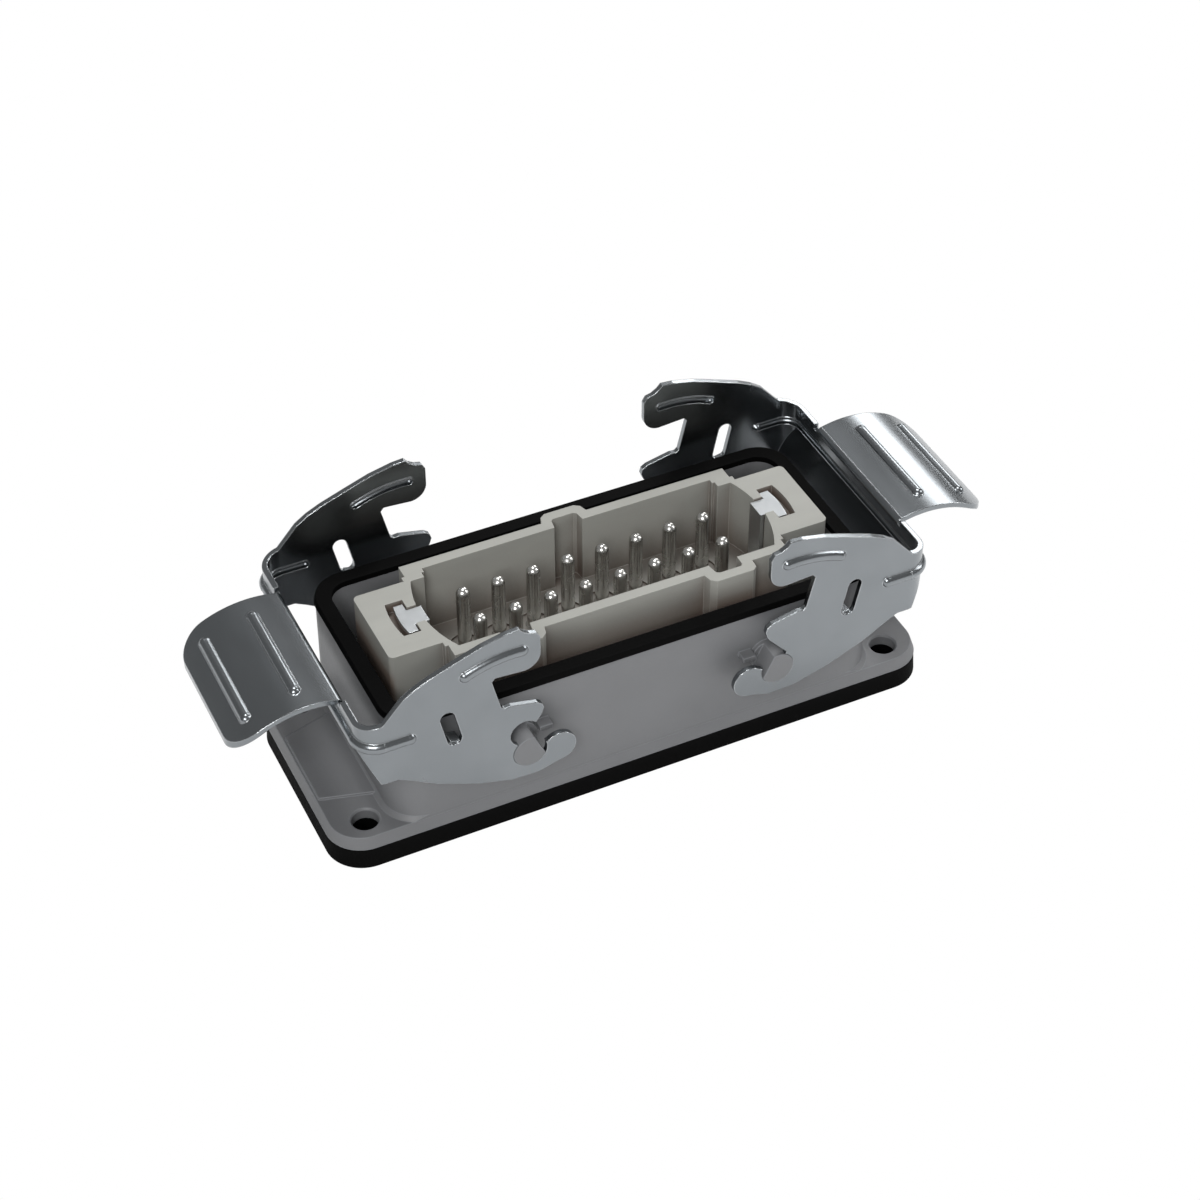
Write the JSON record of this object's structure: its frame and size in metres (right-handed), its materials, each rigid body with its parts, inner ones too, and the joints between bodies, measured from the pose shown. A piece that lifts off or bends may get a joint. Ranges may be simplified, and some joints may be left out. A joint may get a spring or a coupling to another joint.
{
  "type": "rectangular connector",
  "caption": "Heavy duty rectangular connector: bulkhead housing with a flange and gaskets, a male pin insert with earth, and two locking levers.",
  "frame": {"origin": "middle of the gasket's underside, on the panel plane", "axes": "+X along the housing between the two levers, +Z out of the panel towards the mating connector, +Y across"},
  "size_m": [0.1454, 0.0516, 0.0475],
  "materials": {
    "housing_paint": "grey powder coat on die-cast aluminium",
    "gasket_rubber": "matt black rubber",
    "seal_rubber": "matt black rubber",
    "insert_plastic": "matt light grey moulding",
    "contact_silver": "silver plated copper alloy",
    "screw_steel": "zinc plated",
    "earth_steel": "bright plated strip",
    "lever_steel": "satin stainless sheet"
  },
  "bodies": {
    "housing_unit": {"housing": "housing_paint", "flange_gasket": "gasket_rubber", "rim_seal": "seal_rubber", "insert_body": "insert_plastic", "contact_01": "contact_silver", "contact_02": "contact_silver", "contact_03": "contact_silver", "contact_04": "contact_silver", "contact_05": "contact_silver", "contact_06": "contact_silver", "contact_07": "contact_silver", "contact_08": "contact_silver", "contact_09": "contact_silver", "contact_10": "contact_silver", "contact_11": "contact_silver", "contact_12": "contact_silver", "contact_13": "contact_silver", "contact_14": "contact_silver", "contact_15": "contact_silver", "contact_16": "contact_silver", "terminal_screws": "screw_steel", "insert_screws": "screw_steel", "earth_plate_left": "earth_steel", "earth_plate_right": "earth_steel", "earth_screws": "screw_steel"},
    "left_lever": {"lever_left": "lever_steel"},
    "right_lever": {"lever_right": "lever_steel"}
  },
  "joints": [
    {"name": "right_lever_hinge", "type": "hinge", "parent": "housing_unit", "child": "right_lever", "pos_m": [0.0239, 0, 0.019], "axis": [0, 1, 0], "range_deg": [0, 30]},
    {"name": "left_lever_hinge", "type": "hinge", "parent": "housing_unit", "child": "left_lever", "pos_m": [-0.0239, 0, 0.019], "axis": [0, -1, 0], "range_deg": [0, 30]}
  ]
}
